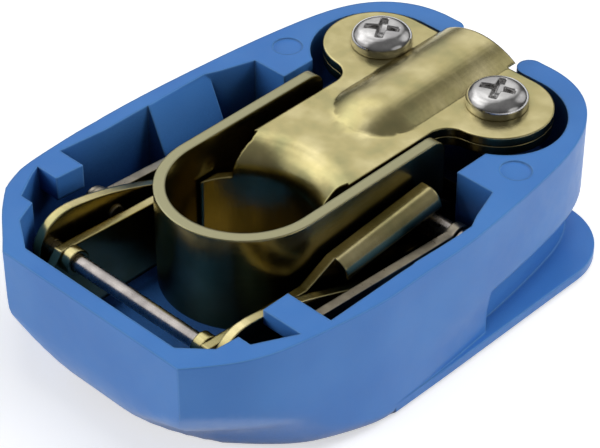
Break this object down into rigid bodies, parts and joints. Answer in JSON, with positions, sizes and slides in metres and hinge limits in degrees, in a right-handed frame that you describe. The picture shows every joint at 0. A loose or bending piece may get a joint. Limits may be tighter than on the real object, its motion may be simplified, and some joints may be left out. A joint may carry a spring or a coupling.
{
  "type": "battery terminal clamp",
  "caption": "Quick-release battery terminal clamp: a band round the post, a brass cable plate with a screwed arch, and a toggle lever under a moulded plastic cover",
  "frame": {"origin": "axis of the post hole, at the upper edge of the clamp band", "axes": "+Z along the post hole out of the open side of the cover, +Y to the cable end, +X across the clamp"},
  "size_m": [0.0472, 0.0696, 0.0219],
  "materials": {
    "cover_plastic": "satin moulded",
    "brass": "yellow passivated, satin",
    "steel": "bright zinc"
  },
  "bodies": {
    "lever": {"housing": "cover_plastic", "lever_bracket": "brass", "front_pin": "steel", "pivot_rivet_left": "steel", "pivot_rivet_right": "steel"},
    "terminal": {"base_bracket": "brass", "jaw_plate": "brass", "collar_left": "brass", "collar_right": "brass", "screw_left": "steel", "screw_right": "steel", "nut_left": "steel", "nut_right": "steel"},
    "links": {"link_left": "steel", "link_right": "steel"},
    "band": {"clamp_band": "brass", "rear_pin": "steel"}
  },
  "joints": [
    {"name": "lever_hinge", "type": "hinge", "parent": "lever", "child": "terminal", "pos_m": [0, -0.017, -0.0073], "axis": [1, 0, 0], "range_deg": [0, 45]},
    {"name": "link_hinge", "type": "hinge", "parent": "lever", "child": "links", "pos_m": [0, -0.0077, -0.00745], "axis": [1, 0, 0], "range_deg": [0, 61]},
    {"name": "band_hinge", "type": "hinge", "parent": "links", "child": "band", "pos_m": [0, 0.0178, -0.0092], "axis": [1, 0, 0], "range_deg": [-16, 0]}
  ],
  "couplings": [
    {"joint": "link_hinge", "follows": "lever_hinge", "ratio": 1.336},
    {"joint": "band_hinge", "follows": "lever_hinge", "ratio": -0.336}
  ]
}
